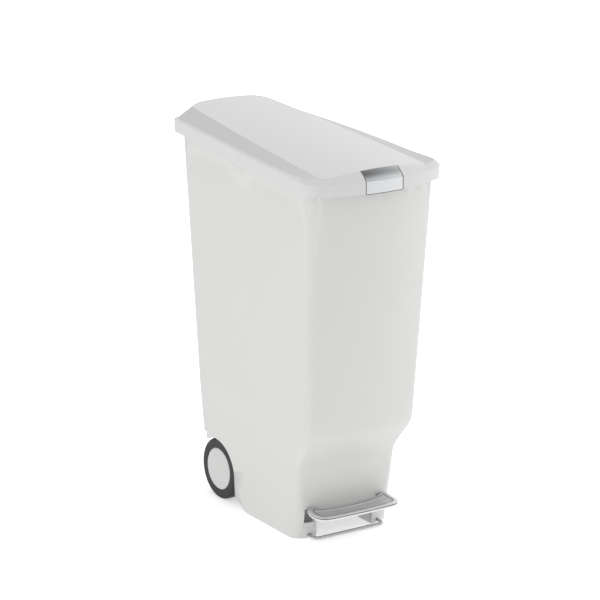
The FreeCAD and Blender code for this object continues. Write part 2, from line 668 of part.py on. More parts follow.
def make_rod_head():
    """The upper end: a flat yoke whose level slot carries the lid's lever pin."""
    x = (-YOKE_HALF, YOKE_HALF)
    half = SMALL_PIN_R + LUG_RIPPLE + SLOT_GAP
    plate = box(x, (LUG_STATION - LUG_SWEEP - 7, LUG_STATION + 7), (LUG_Z - 13, LUG_Z + 8))
    collar_top = LUG_Z - LEVER_BOSS_R - 2.0
    plate = plate.fuse(rod_between(collar_top - 20, collar_top, ROD_R + 2.5))
    plate = plate.cut(slot_x((LUG_STATION - LUG_SWEEP, LUG_STATION), LUG_Z, half, (-FAR, FAR)))
    return plate.cut(rod_between(LUG_Z - 30, ROD_HIGH, ROD_R))


def make_rod_foot():
    """The lower end: a flat eye whose slot carries the pedal lever's pin."""
    x = (-YOKE_HALF, YOKE_HALF)
    half = SMALL_PIN_R + SLOT_GAP
    drift = TUB_REAR_LEAN * ROD_RISE
    plate = box(x, (FOOT_STATION - drift - 6, FOOT_STATION + 7), (FOOT_Z - 7, FOOT_Z + 9))
    plate = plate.fuse(rod_between(FOOT_Z + 7, FOOT_Z + 24, ROD_R + 2.0))
    plate = plate.cut(slot_x((FOOT_STATION - drift, FOOT_STATION + 0.8), FOOT_Z, half, (-FAR, FAR)))
    return plate.cut(rod_between(ROD_LOW, FOOT_Z + 30, ROD_R))


def make_guide(z):
    """A block snapped into the channel, bored for the rod."""
    strip = rear_strip(z, z + GUIDE_HEIGHT, CHANNEL_DEPTH, 1.5)
    block = prism_x(strip, (-CHANNEL_HALF, CHANNEL_HALF))
    inner = CHANNEL_HALF - 3
    waist = prism_x(rear_strip(z - 1, z + GUIDE_HEIGHT + 1, CHANNEL_DEPTH - 3, 24.0), (-inner, inner))
    return block.cut(waist).cut(rod_between(z - 5, z + GUIDE_HEIGHT + 5, ROD_R + GUIDE_GAP))


# ---- Pedal -------------------------------------------------------------------------------------------
def tongue_z(station):
    """Height of the tongue's middle line, which falls from the pivot to the rod."""
    return PIVOT_Z - LEVER_DROP * (station - PIVOT_STATION) / (FOOT_STATION - PIVOT_STATION)


def make_pedal_lever():
    """The bent steel frame: two arms from the tread to the pivot, a cross bar and a twin tongue."""
    half, thin = LEVER_HEIGHT / 2, ARM_THICK / 2
    under_tread = TREAD_Z + TREAD_LIP
    arms = []
    for x in pair(ARM_X):
        arm = prism_x([
            (TREAD_FRONT + 16, under_tread - 3), (TREAD_FRONT + 16, under_tread), (TREAD_REAR + 0.5, under_tread),
            (TREAD_REAR + 6, PIVOT_Z + thin), (CROSS_STATION + STRIP, tongue_z(CROSS_STATION) + thin),
            (CROSS_STATION + STRIP, tongue_z(CROSS_STATION) - thin), (TREAD_REAR + 6, PIVOT_Z - thin),
        ], x)
        arms.append(arm.fuse(rod_x(x, PIVOT_STATION, PIVOT_Z, ARM_BOSS_R)))
    z = tongue_z(CROSS_STATION)
    cross = box((-ARM_X[1], ARM_X[1]), (CROSS_STATION, CROSS_STATION + STRIP), (z - half, z + half))
    for x in pair(TONGUE_X):
        end = FOOT_STATION + 5
        strip = prism_x([
            (CROSS_STATION, z + half), (end, tongue_z(end) + half),
            (end, tongue_z(end) - half), (CROSS_STATION, z - half),
        ], x)
        arms.append(strip)
    frame = join(cross, arms)
    frame = frame.cut(rod_x((-FAR, FAR), PIVOT_STATION, PIVOT_Z, BUSH_R))
    return frame.cut(rod_x((-FAR, FAR), FOOT_STATION, FOOT_Z, SMALL_PIN_R))


def tread_prism(inset, z):
    """The tread's outline, shrunk by inset, between two heights."""
    front = (TREAD_HALF - inset, TREAD_FRONT + inset, TREAD_BOW, TREAD_R_FRONT - inset)
    rear = (TREAD_HALF - 1 - inset, TREAD_REAR - inset, 0.3, max(TREAD_R_REAR - inset, 3.0))
    face = Part.Face(outline(front, rear, level(z[0])))
    return face.extrude(V(0, 0, z[1] - z[0]))


def make_tread():
    """The pressed steel tread: a shallow tray with a turned rim, hollow underneath and low at the back."""
    top = TREAD_Z + TREAD_HEIGHT
    plate = TREAD_Z + TREAD_LIP
    tray = tread_prism(0.0, (TREAD_Z, top))
    pan = tread_prism(TREAD_RIM, (plate + TREAD_SHEET, top + 5))
    hollow = tread_prism(TREAD_SHEET, (TREAD_Z - 5, plate))
    middle, rear = TREAD_HALF - 9, (TREAD_REAR - 5, TREAD_REAR + 5)
    low_rear = box((-middle, middle), rear, (plate + TREAD_SHEET, top + 5))
    gates = [box((x[0] - 0.2, x[1] + 0.2), rear, (TREAD_Z - 5, plate)) for x in pair(ARM_X)]
    return cut(tray, [pan, hollow, low_rear] + gates)


def make_bushes():
    """Nylon bushes in the lever's arms, which run on the pedal axle."""
    bushes = []
    for x in pair(BUSH_X):
        tube = rod_x(x, PIVOT_STATION, PIVOT_Z, BUSH_R)
        bushes.append(tube.cut(rod_x(x, PIVOT_STATION, PIVOT_Z, PEDAL_AXLE_R + RUNNING_GAP)))
    return Part.makeCompound(bushes)


# ---- Every sub-part ----------------------------------------------------------------------------------
os.makedirs("parts", exist_ok=True)
write("tub", make_tub())
write("lid", make_lid())
write("finger_tab", make_tab())
write("lid_lever", make_lid_lever())
write("lever_pin", rod_x((-CHEEK[1] - 1, CHEEK[1] + 1), LUG_STATION, LUG_Z, SMALL_PIN_R))
write("lid_bumpers", make_bumpers())
write("lift_rod", make_rod())
write("rod_head", make_rod_head())
write("rod_foot", make_rod_foot())
write("rod_guide_lower", make_guide(GUIDE_LEVELS[0]))
write("rod_guide_upper", make_guide(GUIDE_LEVELS[1]))
write("pedal_tread", make_tread())
write("pedal_lever", make_pedal_lever())
write("pedal_bushes", make_bushes())
write("pedal_pin", rod_x((-TONGUE_X[1] - 1, TONGUE_X[1] + 1), FOOT_STATION, FOOT_Z, SMALL_PIN_R))
write("pedal_axle", rod_x((-PEDAL_AXLE_HALF, PEDAL_AXLE_HALF), PIVOT_STATION, PIVOT_Z, PEDAL_AXLE_R))
write("axle_clips", make_axle_clips())
write("floor_bar", make_floor_bar())
for side, sign in (("left", -1), ("right", 1)):
    write("hinge_pin_" + side, make_hinge_pin(sign))
    write("wheel_pin_" + side, make_wheel_pin(sign))
    write("wheel_nut_" + side, make_wheel_nut(sign))
    write("tyre_" + side, make_tyre(sign))
    write("hub_" + side, make_hub(sign))
    write("hub_cap_" + side, make_cap(sign))
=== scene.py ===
import json
import math
import bmesh
import bpy
import numpy as np
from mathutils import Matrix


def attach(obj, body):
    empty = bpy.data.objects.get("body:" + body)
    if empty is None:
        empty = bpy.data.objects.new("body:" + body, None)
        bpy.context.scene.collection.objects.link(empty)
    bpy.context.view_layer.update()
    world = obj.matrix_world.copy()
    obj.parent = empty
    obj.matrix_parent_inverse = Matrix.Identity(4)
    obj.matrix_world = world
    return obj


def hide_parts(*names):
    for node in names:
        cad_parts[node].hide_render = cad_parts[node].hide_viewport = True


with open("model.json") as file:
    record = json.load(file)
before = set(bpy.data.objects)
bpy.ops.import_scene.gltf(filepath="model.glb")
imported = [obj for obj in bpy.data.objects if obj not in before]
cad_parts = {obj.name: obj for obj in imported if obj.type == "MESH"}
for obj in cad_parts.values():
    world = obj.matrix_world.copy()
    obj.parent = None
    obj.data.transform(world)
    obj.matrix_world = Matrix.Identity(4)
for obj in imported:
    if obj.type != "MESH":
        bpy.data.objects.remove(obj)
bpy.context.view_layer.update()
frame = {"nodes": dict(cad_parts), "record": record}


# ---- The room ----------------------------------------------------------------------------------------
# A pale floor and a white surround, large soft lamps to the right and above, and a long-lens camera in
# front of the bin, a little to its left and above the middle.
scene = bpy.context.scene
scene.view_settings.view_transform = "Standard"


class Socket:
    """One output of a shader node. Arithmetic on it adds Math nodes to the same material."""

    def __init__(self, tree, link):
        self.tree = tree
        self.link = link

    def node(self, kind, settings=None, output=0, **inputs):
        """Any other node: its type, its settings, which come first, and its sockets' values or links."""
        made = self.tree.nodes.new(kind)
        for name, value in (settings or {}).items():
            if name == "stops":
                ramp = made.color_ramp.elements
                while len(ramp) < len(value):
                    ramp.new(0.5)
                for element, (place, colour) in zip(ramp, value):
                    element.position = place
                    element.color = colour
            else:
                setattr(made, name, value)
        for name, value in inputs.items():
            key = int(name[1:]) if name[1:].isdigit() else name.replace("_", " ")
            target = made.inputs[key]
            if isinstance(value, Socket):
                self.tree.links.new(value.link, target)
            else:
                target.default_value = value
        return Socket(self.tree, made.outputs[output])

    def maths(self, operation, *values):
        """A Math node on these numbers or links, which don't include this socket unless it is named."""
        inputs = {"i%d" % place: value for place, value in enumerate(values)}
        return self.node("ShaderNodeMath", {"operation": operation}, **inputs)

    def __add__(self, other):
        return self.maths("ADD", self, other)

    def __sub__(self, other):
        return self.maths("SUBTRACT", self, other)

    def __mul__(self, other):
        return self.maths("MULTIPLY", self, other)

    __radd__ = __add__


class Finish:
    """A material with one Principled shader, made by naming what feeds its sockets."""

    def __init__(self, name, colour, roughness, metallic=0.0, **fixed):
        self.material = bpy.data.materials.new(name)
        self.material.use_nodes = True
        self.tree = self.material.node_tree
        self.shader = self.tree.nodes["Principled BSDF"]
        self.material.diffuse_color = (*colour[:3], 1)
        self.feed("Base Color", (*colour[:3], 1))
        self.feed("Roughness", roughness)
        self.feed("Metallic", metallic)
        for key, value in fixed.items():
            self.feed(key.replace("_", " "), value)
        place = self.tree.nodes.new("ShaderNodeTexCoord")
        self.place = Socket(self.tree, place.outputs["Object"])

    def feed(self, socket, value):
        """Set a socket of the shader to a value, or link it to another node's output."""
        if isinstance(value, Socket):
            self.tree.links.new(value.link, self.shader.inputs[socket])
        else:
            self.shader.inputs[socket].default_value = value

    def noise(self, scale, detail=2.0, stretch=(1, 1, 1)):
        """Soft noise on the piece's own coordinates, stretched along an axis where one is under 1."""
        spread = self.place.node("ShaderNodeMapping", None, Vector=self.place, Scale=stretch)
        return spread.node("ShaderNodeTexNoise", None, Vector=spread, Scale=scale, Detail=detail)

    def blend(self, mask, low, high):
        """A colour that goes from low to high as the mask goes from 0 to 1."""
        return self.place.node("ShaderNodeMix", {"data_type": "RGBA"}, output=2, i0=mask,
                               i6=(*low, 1), i7=(*high, 1))

    def bump(self, height, strength, distance):
        """Relief that only the light feels; distance is its depth in metres."""
        relief = height.node("ShaderNodeBump", None, Height=height, Strength=strength, Distance=distance)
        self.feed("Normal", relief)


def tone(level, tint=(1.0, 1.0, 1.0)):
    """A grey of this display level, 0 to 255, made linear, with a slight tint."""
    value = level / 255
    linear = value / 12.92 if value < 0.04 else ((value + 0.055) / 1.055) ** 2.4
    return tuple(linear * part for part in tint)


def soft_lamp(name, place, aim, size, power):
    """A rectangular lamp in metres and watts. It lights the pieces but isn't mirrored in them."""
    lamp = bpy.data.lights.new(name, "AREA")
    lamp.shape = "RECTANGLE"
    lamp.size, lamp.size_y = size
    lamp.energy = power
    made = bpy.data.objects.new(name, lamp)
    scene.collection.objects.link(made)
    made.location = place
    way = np.array(aim) - np.array(place)
    flat = math.hypot(way[0], way[1])
    made.rotation_euler = (math.atan2(flat, -way[2]), 0, math.atan2(way[1], way[0]) - math.pi / 2)
    made.visible_glossy = False


soft_lamp("lamp_right", (3.0, -0.7, 1.3), (0, 0, 0.35), (1.6, 1.6), 36)
soft_lamp("lamp_above", (0.2, -0.2, 2.6), (0, 0, 0.3), (2.2, 2.2), 14)
soft_lamp("lamp_left", (-2.8, -0.3, 1.1), (0, 0, 0.3), (1.6, 1.6), 14)

# The camera sees a white surround. Diffuse light takes AMBIENT of it, and mirrored rays meet a sky that
# is white round the horizon and dark overhead, which gives bright metal its contrast.
AMBIENT = 0.575
world = bpy.data.worlds.new("surround")
scene.world = world
world.use_nodes = True
sky = world.node_tree.nodes["Background"]
sky.inputs["Color"].default_value = (1, 1, 1, 1)
rays = world.node_tree.nodes.new("ShaderNodeLightPath")
seen = Socket(world.node_tree, rays.outputs["Is Camera Ray"])
glint = Socket(world.node_tree, rays.outputs["Is Glossy Ray"])
heading = Socket(world.node_tree, world.node_tree.nodes.new("ShaderNodeTexCoord").outputs["Generated"])
height = heading.node("ShaderNodeSeparateXYZ", output=2, Vector=heading)
surround = height.node("ShaderNodeValToRGB", {"stops": [
    (0.0, (1, 1, 1, 1)), (0.62, (1, 1, 1, 1)), (0.94, (0.08, 0.08, 0.09, 1)), (1.0, (0.20, 0.20, 0.21, 1)),
]}, Fac=height)
sky_strength = seen * (1 - AMBIENT) + glint * (surround - AMBIENT) + AMBIENT
world.node_tree.links.new(sky_strength.link, sky.inputs["Strength"])

# The floor glows a little, so that only the shadow near the bin shows. For the camera the glow grows
# with the distance from the bin, and the far floor fades into the surround.
HALF_FLOOR = 6.0
SHADOW_REACH = 0.5
FLOOR_GLOW = 0.36
NEAR_GLOW = 0.12
GLOW_PER_METRE = 0.16
MOST_GLOW = 0.5
floor_mesh = bpy.data.meshes.new("floor")
floor_corners = [(x * HALF_FLOOR, y * HALF_FLOOR, 0) for x, y in ((-1, -1), (1, -1), (1, 1), (-1, 1))]
floor_mesh.from_pydata(floor_corners, [], [(0, 1, 2, 3)])
floor = bpy.data.objects.new("floor", floor_mesh)
scene.collection.objects.link(floor)
floor_finish = Finish("pale_floor", (0.9, 0.9, 0.9), 0.9)
floor_finish.feed("Emission Color", (1, 1, 1, 1))
floor_rays = floor_finish.tree.nodes.new("ShaderNodeLightPath")
floor_seen = Socket(floor_finish.tree, floor_rays.outputs["Is Camera Ray"])
floor_place = floor_finish.place
away = floor_place.node("ShaderNodeVectorMath", {"operation": "LENGTH"}, output=1, i0=floor_place)
far_glow = away.maths("MINIMUM", (away - SHADOW_REACH) * GLOW_PER_METRE, MOST_GLOW)
far_glow = far_glow.maths("MAXIMUM", far_glow, 0.0)
floor_finish.feed("Emission Strength", FLOOR_GLOW + floor_seen * (far_glow + NEAR_GLOW))
floor_mesh.materials.append(floor_finish.material)

# The camera stands AWAY metres from the point it looks at, turned to the left and raised.
LOOK_AT = (0.0, 0.0125, 0.320)
TURN = math.radians(-32.96)
RAISE = math.radians(16.72)
AWAY = 4.737
lens = bpy.data.cameras.new("camera")
lens.lens = 174.6
lens.sensor_width = 36.0
lens.shift_x = 0.0077
lens.shift_y = 0.0322
lens.clip_end = 30
camera = bpy.data.objects.new("camera", lens)
scene.collection.objects.link(camera)
camera.location = (LOOK_AT[0] + AWAY * math.sin(TURN) * math.cos(RAISE),
                   LOOK_AT[1] - AWAY * math.cos(TURN) * math.cos(RAISE),
                   LOOK_AT[2] + AWAY * math.sin(RAISE))
camera.rotation_euler = (math.pi / 2 - RAISE, 0, TURN)
scene.camera = camera


# ---- Tub ---------------------------------------------------------------------------------------------
# The one-piece tub is injection-moulded polypropylene in pale grey with a fine satin surface. The copy of
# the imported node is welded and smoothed, so that its rounded corners shade as one skin.
WELD = 1e-6                          # metres within which two points are one
GRAIN_SCALE = 900.0
GRAIN_DEPTH = 0.0002


def grain(finish, strength=0.05):
    """The fine grain of a moulded surface, felt rather than seen."""
    finish.bump(finish.noise(GRAIN_SCALE, 1.0), strength, GRAIN_DEPTH)
    return finish


def smooth_copy(node, name, angle=32.0):
    """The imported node's mesh, welded at its shared points and smoothed up to an angle."""
    source = frame["nodes"][node]
    mesh = source.data.copy()
    mesh.name = name
    made = bpy.data.objects.new(name, mesh)
    scene.collection.objects.link(made)
    work = bmesh.new()
    work.from_mesh(mesh)
    bmesh.ops.remove_doubles(work, verts=work.verts, dist=WELD)
    work.to_mesh(mesh)
    work.free()
    mesh.materials.clear()
    mesh.shade_smooth()
    mesh.set_sharp_from_angle(angle=math.radians(angle))
    return made


shell_finish = Finish("moulded_shell", tone(219, (1.0, 1.0, 0.985)), 0.42, Specular_IOR_Level=0.45)
patch = shell_finish.noise(7.0, 2.0)
shell_finish.feed("Roughness", 0.38 + patch * 0.10)
grain(shell_finish)
tub = smooth_copy("tub", "tub_shell")
tub.data.materials.append(shell_finish.material)
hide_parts("tub")
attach(tub, "bin")


# ---- Lid ---------------------------------------------------------------------------------------------
# The lid is one glossy moulding, 3 mm thick: an upright skirt, a narrow ledge over it, a sloping facet all
# round and a gently arched roof that rises to the rear. Its front has a shallow recess for the finger tab,
# and two knuckles under the rear of the roof turn on the hinge pins. Lengths here are in millimetres.
MIDDLE = 216.0                       # the origin's station; stations count from the front to the rear
NOSE = -22.0                         # station of the middle of the lid's front
TAIL = 454.0                         # and of its rear
SKIRT = 19.5
SKIRT_FRONT_Z = 607.1
SKIRT_RISE = 0.0683                  # millimetres up for each one back, at the front
SKIRT_EASE = 0.000055
ROOF_REAR_Z = 649.6
ROOF_RISE = 0.0586
ARCH_FRONT = 465.0                   # the arch's radius at the front
ARCH_REAR = 860.0                    # and at the rear
ROOF_HALF = 97.0
CORNER_SNAP = 1.5                    # columns this near the roof's front corners move into them
RECESS_HALF = 34.9
RECESS_DEPTH = 1.6
RECESS_SINK = 1.4
TAB_HALF = 33.7
LID_WALL = 0.003                     # metres, as modifiers take them
DOWN = np.array([0.0, 0.0, 0.001])   # one millimetre of height, in metres
OUTWARDS = np.array([0.0, -0.67, 0.74])
# FACET faces take a grey painted shade, and SEAM faces a near-black painted shade in the recess round the
# tab.
PLAIN, FACET, SEAM = 0, 1, 2         # the lid's material slots


def row(x, station, z):
    """Millimetres at a station to metres in the part's own frame."""
    return np.stack(np.broadcast_arrays(x, np.asarray(station) - MIDDLE, z), -1) * 0.001


def skirt_top(station):
    """The skirt's upper edge: it rises by 68 mm a metre at the front and flattens towards the rear."""
    back = station - NOSE
    return SKIRT_FRONT_Z + SKIRT_RISE * back - SKIRT_EASE * back ** 2


def roof(x, station):
    """A line that rises to the rear, less the fall of a circular arch whose curvature eases rearwards."""
    share = (station - NOSE) / (TAIL - NOSE)
    radius = 1 / ((1 - share) / ARCH_FRONT + share / ARCH_REAR)
    return ROOF_REAR_Z - ROOF_RISE * (TAIL - station) - radius + np.sqrt(radius ** 2 - x ** 2)


def on_roof(x, station):
    """Points of the roof, in the part's own frame."""
    return row(x, station, roof(x, station))


def arc_through(start, middle, end, share):
    """Points on the circle through three plan points: its centre is where the chords' bisectors meet."""
    a, b, c = (np.array(point, float) for point in (start, middle, end))
    u, v = b - a, c - a
    twice = 2 * (u[0] * v[1] - u[1] * v[0])
    centre = a + np.array([u @ u * v[1] - v @ v * u[1], v @ v * u[0] - u @ u * v[0]]) / twice
    first = math.atan2(*(a - centre)[::-1])
    turn = (math.atan2(*(c - centre)[::-1]) - first) % (2 * math.pi)
    turn = turn if twice > 0 else turn - 2 * math.pi
    angles = first + turn * share
    return centre + np.hypot(*(a - centre)) * np.stack([np.cos(angles), np.sin(angles)], -1)


def corner(point, way_in, way_out, radius):
    """Start, middle and end of the arc that rounds a plan corner between two headings."""
    ways = [np.array([math.cos(a), math.sin(a)]) for a in (way_in, way_out)]
    half = abs((way_out - way_in) % (2 * math.pi)) / 2
    point = np.array(point)
    start, end = point - ways[0] * radius * math.tan(half), point + ways[1] * radius * math.tan(half)
    chord = (start + end) / 2
    towards = point - chord
    return start, chord + towards * radius * (1 - math.cos(half)) / np.hypot(*towards), end


ROUND_STEPS = 14                     # points on each rounded corner of a ring
SIDE_STEPS = 40
REAR_STEPS = 24


def ring(front, rear, side_bow, nose_x):
    """A plan loop of bowed front, sides and rear with rounded corners, counter-clockwise.

    front and rear are (half-width, corner station, bow, corner radius). The front is sampled at nose_x,
    where -1 and 1 are the sides of the tab's recess and -2 and 2 are the front's own ends, so that every
    ring's columns line up there.
    """
    run, span = rear[1] - front[1], rear[0] - front[0]
    length = math.hypot(run, span)
    heading, swell = math.atan2(run, span), 2 * math.atan(2 * side_bow / length)
    f0, f1, f2 = corner(front[:2], 2 * math.atan(front[2] / front[0]), heading - swell, front[3])
    r0, r1, r2 = corner(rear[:2], heading + swell, math.pi - 2 * math.atan(rear[2] / rear[0]), rear[3])
    side = ((f2[0] + r0[0]) / 2 + side_bow * math.sin(heading), (f2[1] + r0[1]) / 2)
    drop = f0[1] - (front[1] - front[2])
    radius = (f0[0] ** 2 + drop ** 2) / (2 * drop)
    wide = np.abs(nose_x) > 1
    x = np.where(wide, np.sign(nose_x) * (RECESS_HALF + (np.abs(nose_x) - 1) * (f0[0] - RECESS_HALF)),
                 nose_x * RECESS_HALF)
    nose = np.stack([x, front[1] - front[2] + radius - np.sqrt(radius ** 2 - x ** 2)], -1)
    mirror = np.array([-1, 1])
    right = [(f0, f1, f2, ROUND_STEPS), (f2, side, r0, SIDE_STEPS), (r0, r1, r2, ROUND_STEPS)]
    left = [(end * mirror, middle * mirror, start * mirror, steps)
            for start, middle, end, steps in reversed(right)]
    legs = right + [(r2, (0, rear[1] + rear[2]), r2 * mirror, REAR_STEPS)] + left
    return np.concatenate([nose] + [arc_through(a, b, c, np.arange(n) / n) for a, b, c, n in legs])


def skin(name, rows, closed=True, slots=None):
    """A mesh from a (rows, columns, 3) array of points: each four neighbours make a face.

    slots, where given, is the number of the material slot of every face, row by row.
    """
    count, columns = rows.shape[:2]
    index = np.arange(count * columns).reshape(count, columns)
    after = np.roll(index, -1, 1) if closed else index[:, 1:]
    here = index if closed else index[:, :-1]
    quads = np.stack([here[:-1], after[:-1], after[1:], here[1:]], -1).reshape(-1, 4)
    mesh = bpy.data.meshes.new(name)
    mesh.from_pydata(rows.reshape(-1, 3), [], quads)
    if slots is not None:
        mesh.polygons.foreach_set("material_index", slots.ravel())
    work = bmesh.new()
    work.from_mesh(mesh)
    bmesh.ops.remove_doubles(work, verts=work.verts, dist=WELD)
    bmesh.ops.dissolve_degenerate(work, dist=WELD, edges=work.edges)
    work.to_mesh(mesh)
    work.free()
    made = bpy.data.objects.new(name, mesh)
    scene.collection.objects.link(made)
    mesh.shade_smooth()
    return made


def harden(piece, thickness=0.0, bevel=0.0, angle=30.0, segments=3, even=True):
    """Give a skin its wall inwards, in its first finish, and round its sharp edges.

    An even wall is as thick round its bends as elsewhere. It is off where thin faces meet in a fan.
    """
    if thickness:
        wall = piece.modifiers.new("wall", "SOLIDIFY")
        wall.thickness, wall.offset, wall.use_even_offset = thickness, -1.0, even
        wall.material_offset = -2
    if bevel:
        edge = piece.modifiers.new("edge", "BEVEL")
        edge.width, edge.segments, edge.limit_method = bevel, segments, "ANGLE"
        edge.angle_limit, edge.harden_normals = math.radians(angle), True
    return piece


def lid_rows(inset, columns):
    """The lid's rings at one inset: the rim round the skirt, the ledge inside it and the roof's edge.

    The ledge lies 2 mm over the skirt, and 6 mm round the front corners. At the front it climbs to the
    roof, so that one tall facet stands there, and the roof's front edge is the ledge itself as far out as
    the roof's corners.
    """
    rim = ring((128.3 - inset, 2.0 + inset, 27.0, 27.0 - inset),
               (103.0 - inset, 444.5 - inset, 9.5, 24.0 - inset), 5.0, columns)
    ledge = ring((123.0 - inset, 10.5 + inset / 2, 18.5, 21.0),
                 (98.2 - inset, 439.5 - inset, 9.0, 19.5), 5.0, columns)
    edge = skirt_top(rim[:, 1])
    low = skirt_top(ledge[:, 1]) + 2.0 + 4.0 * np.clip((90.0 - ledge[:, 1]) / 80.0, 0.0, 1.0)
    climb = np.clip((45.0 - ledge[:, 1]) / 25.0, 0.0, 1.0)
    ledge_z = low + climb * np.maximum(0.0, roof(ledge[:, 0], ledge[:, 1]) - low)
    top = ring((ROOF_HALF, 6.5, 12.0, 1.0), (71.0, 441.5, 4.0, 30.0), 3.0, columns)
    front = np.arange(len(top)) < len(columns)
    right = ledge[front & (ledge[:, 0] > 0)]
    corner_station = np.interp(ROOF_HALF, right[:, 0], right[:, 1])
    wide = front & (np.abs(ledge[:, 0]) > ROOF_HALF - CORNER_SNAP)
    top[front] = ledge[front]
    top[wide] = np.stack([np.sign(ledge[wide, 0]) * ROOF_HALF, np.full(wide.sum(), corner_station)], -1)
    return row(rim[:, 0], rim[:, 1], edge), row(ledge[:, 0], ledge[:, 1], ledge_z), top


# Two columns stand at each side of the recess, so that it has upright side walls.
beyond = 1 + np.linspace(0, 1, 23)[1:]
within = np.linspace(-1, 1, 25)
columns = np.concatenate([-beyond[::-1], [-1.0], within, [1.0], beyond[:-1]])
rim, ledge, top = lid_rows(0.0, columns)
rim_in, ledge_in, _ = lid_rows(RECESS_DEPTH, columns)
recess = np.zeros((len(rim), 1), bool)
recess[len(beyond) + 1:len(beyond) + 1 + len(within)] = True
rim = np.where(recess, rim_in - RECESS_SINK * DOWN, rim)
ledge = np.where(recess, ledge_in - RECESS_DEPTH * DOWN, ledge)

# Up the skirt, over the shoulder to the ledge, up the facet and in to the roof's spine. The tall front
# facet swells by up to SHOULDER_SWELL, and less where the shoulder is lower than SHOULDER_FULL.
SHOULDER_SWELL = 0.0013              # metres
SHOULDER_FULL = 0.015
SPINE_FRONT = NOSE + 95              # stations of the line along the middle that the roof's rings shrink to
SPINE_REAR = TAIL - 75
skirt = (rim - SKIRT * DOWN) + SKIRT * DOWN * np.linspace(0, 1, 4)[:, None, None]
turn_in = np.linspace(0, 1, 9)[1:, None, None]
full = np.clip((ledge[:, 2:] - rim[:, 2:]) / SHOULDER_FULL, 0, 1) * SHOULDER_SWELL
shoulder = rim + (ledge - rim) * turn_in
shoulder = shoulder + np.sin(turn_in * math.pi) * full * OUTWARDS
crest = np.where(recess, ledge, on_roof(top[:, 0], top[:, 1]))
slope = ledge + (crest - ledge) * np.linspace(0, 1, 5)[1:, None, None]
spine = np.clip(top[:, 1], SPINE_FRONT, SPINE_REAR)
share = np.linspace(0, 1, 22)[:, None] ** 1.3
crown = on_roof(top[:, 0] * (1 - share), top[:, 1] + (spine - top[:, 1]) * share)
lid_points = np.concatenate([skirt, shoulder, slope, crown])
lid_slots = np.full((len(lid_points) - 1, len(rim)), PLAIN)
ledge_row = len(skirt) + len(shoulder) - 1
# The facet rows take the textured facet's grey, which is a painted shade.
lid_slots[ledge_row:ledge_row + len(slope)] = FACET
# The recess faces under the tab take the near-black painted shade.
lid_slots[:ledge_row, recess[:, 0]] = SEAM
lid = skin("lid_shell", lid_points, slots=lid_slots)
harden(lid, LID_WALL, 0.0007, 9.0, 2, even=False)


def around_hole(name, outline_r, hole_r, x, centre):
    """A plate with a hole, across X: each heading has an outer radius, and a ring joins them to the hole."""
    headings = np.linspace(0, 2 * math.pi, len(outline_r), endpoint=False)
    hole = np.full_like(outline_r, hole_r)
    radii = np.stack([outline_r, outline_r, hole, hole])
    places = np.array([x[0], x[1], x[1], x[0]])[:, None]
    rows = row(places, centre[0] + radii * np.cos(headings), centre[1] + radii * np.sin(headings))
    return skin(name, np.concatenate([rows, rows[:1]]))


lid_finish = Finish("moulded_lid", tone(220, (0.985, 0.985, 1.0)), 0.30, Specular_IOR_Level=0.5)
lid_finish.feed("Roughness", 0.29 + lid_finish.noise(9.0, 2.0) * 0.08)
grain(lid_finish, 0.02)
# The facet is the lid's plastic with a textured finish. Its roughness and fine bump are real, but its grey,
# darker than the roof's, is painted shade for the sloping facet.
facet_painted_shade_finish = Finish("textured_facet", tone(207, (0.985, 0.99, 1.0)), 0.55, Specular_IOR_Level=0.3)
facet_painted_shade_finish.bump(facet_painted_shade_finish.noise(1400.0, 2.0), 0.10, 0.0002)
# The near-black on the recess floor round the tab and in the tread's grooves is painted shade. It stands in
# for the shadow in these narrow gaps.
gap_painted_shade_finish = Finish("recess_floor", tone(58), 0.7)

# A knuckle is round below its pin. Above it, it runs straight up into the roof, narrower at its front.
PIN = (428.5, 606.0)                 # station and height of the hinge pins
KNUCKLE_R = 8.0
KNUCKLE_BORE_R = 3.05
KNUCKLE_RISE = 33.0
turns = np.linspace(0, 2 * math.pi, 96, endpoint=False)
side_reach = np.where(np.cos(turns) > 0, KNUCKLE_R, KNUCKLE_R / 2) / np.maximum(np.abs(np.cos(turns)), 0.01)
reach = np.minimum(KNUCKLE_RISE / np.maximum(np.sin(turns), 0.01), side_reach)
outline = np.where(np.sin(turns) > 0.2, reach, KNUCKLE_R)
knuckles = []
for side, near in (("left", (-70.0, -58.0)), ("right", (58.0, 70.0))):
    knuckle = around_hole("lid_knuckle_" + side, outline, KNUCKLE_BORE_R, near, PIN)
    knuckles.append(harden(knuckle, 0.0, 0.0005, 40.0, 2))
for piece in [lid] + knuckles:
    piece.data.materials.append(lid_finish.material)
    piece.data.materials.append(facet_painted_shade_finish.material)
    piece.data.materials.append(gap_painted_shade_finish.material)
    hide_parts("lid")
    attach(piece, "lid")


# ---- Finger tab --------------------------------------------------------------------------------------
# A chromed cap let flush into the front of the lid. It runs from the facet's upper edge over a crisp fold
# and down the skirt, with an open seam along each side.
# The recess floor that shows in the seams is a near-black painted shade.
TAB_CROWN = 0.0018                   # metres
TAB_SINK = 0.1
TAB_STEPS = 12
tab_columns = np.linspace(-1, 1, 41) * TAB_HALF / RECESS_HALF
fold, high = (points[:len(tab_columns)] for points in lid_rows(0.0, tab_columns)[:2])
upright = (fold - SKIRT * DOWN) + SKIRT * DOWN * np.linspace(0, 1, TAB_STEPS)[:, None, None]
rising = fold + (high - fold) * np.linspace(0, 1, TAB_STEPS)[1:, None, None]
crowned = TAB_CROWN * OUTWARDS * np.sin(np.linspace(0, math.pi, TAB_STEPS))[1:, None, None]
tab = skin("finger_tab_cap", np.concatenate([upright, rising + crowned - TAB_SINK * DOWN]), closed=False)
harden(tab, 0.0014, 0.0005, 30.0, 3)
tab_finish = Finish("tab_chrome", (0.66, 0.67, 0.68), 0.12, 1.0)
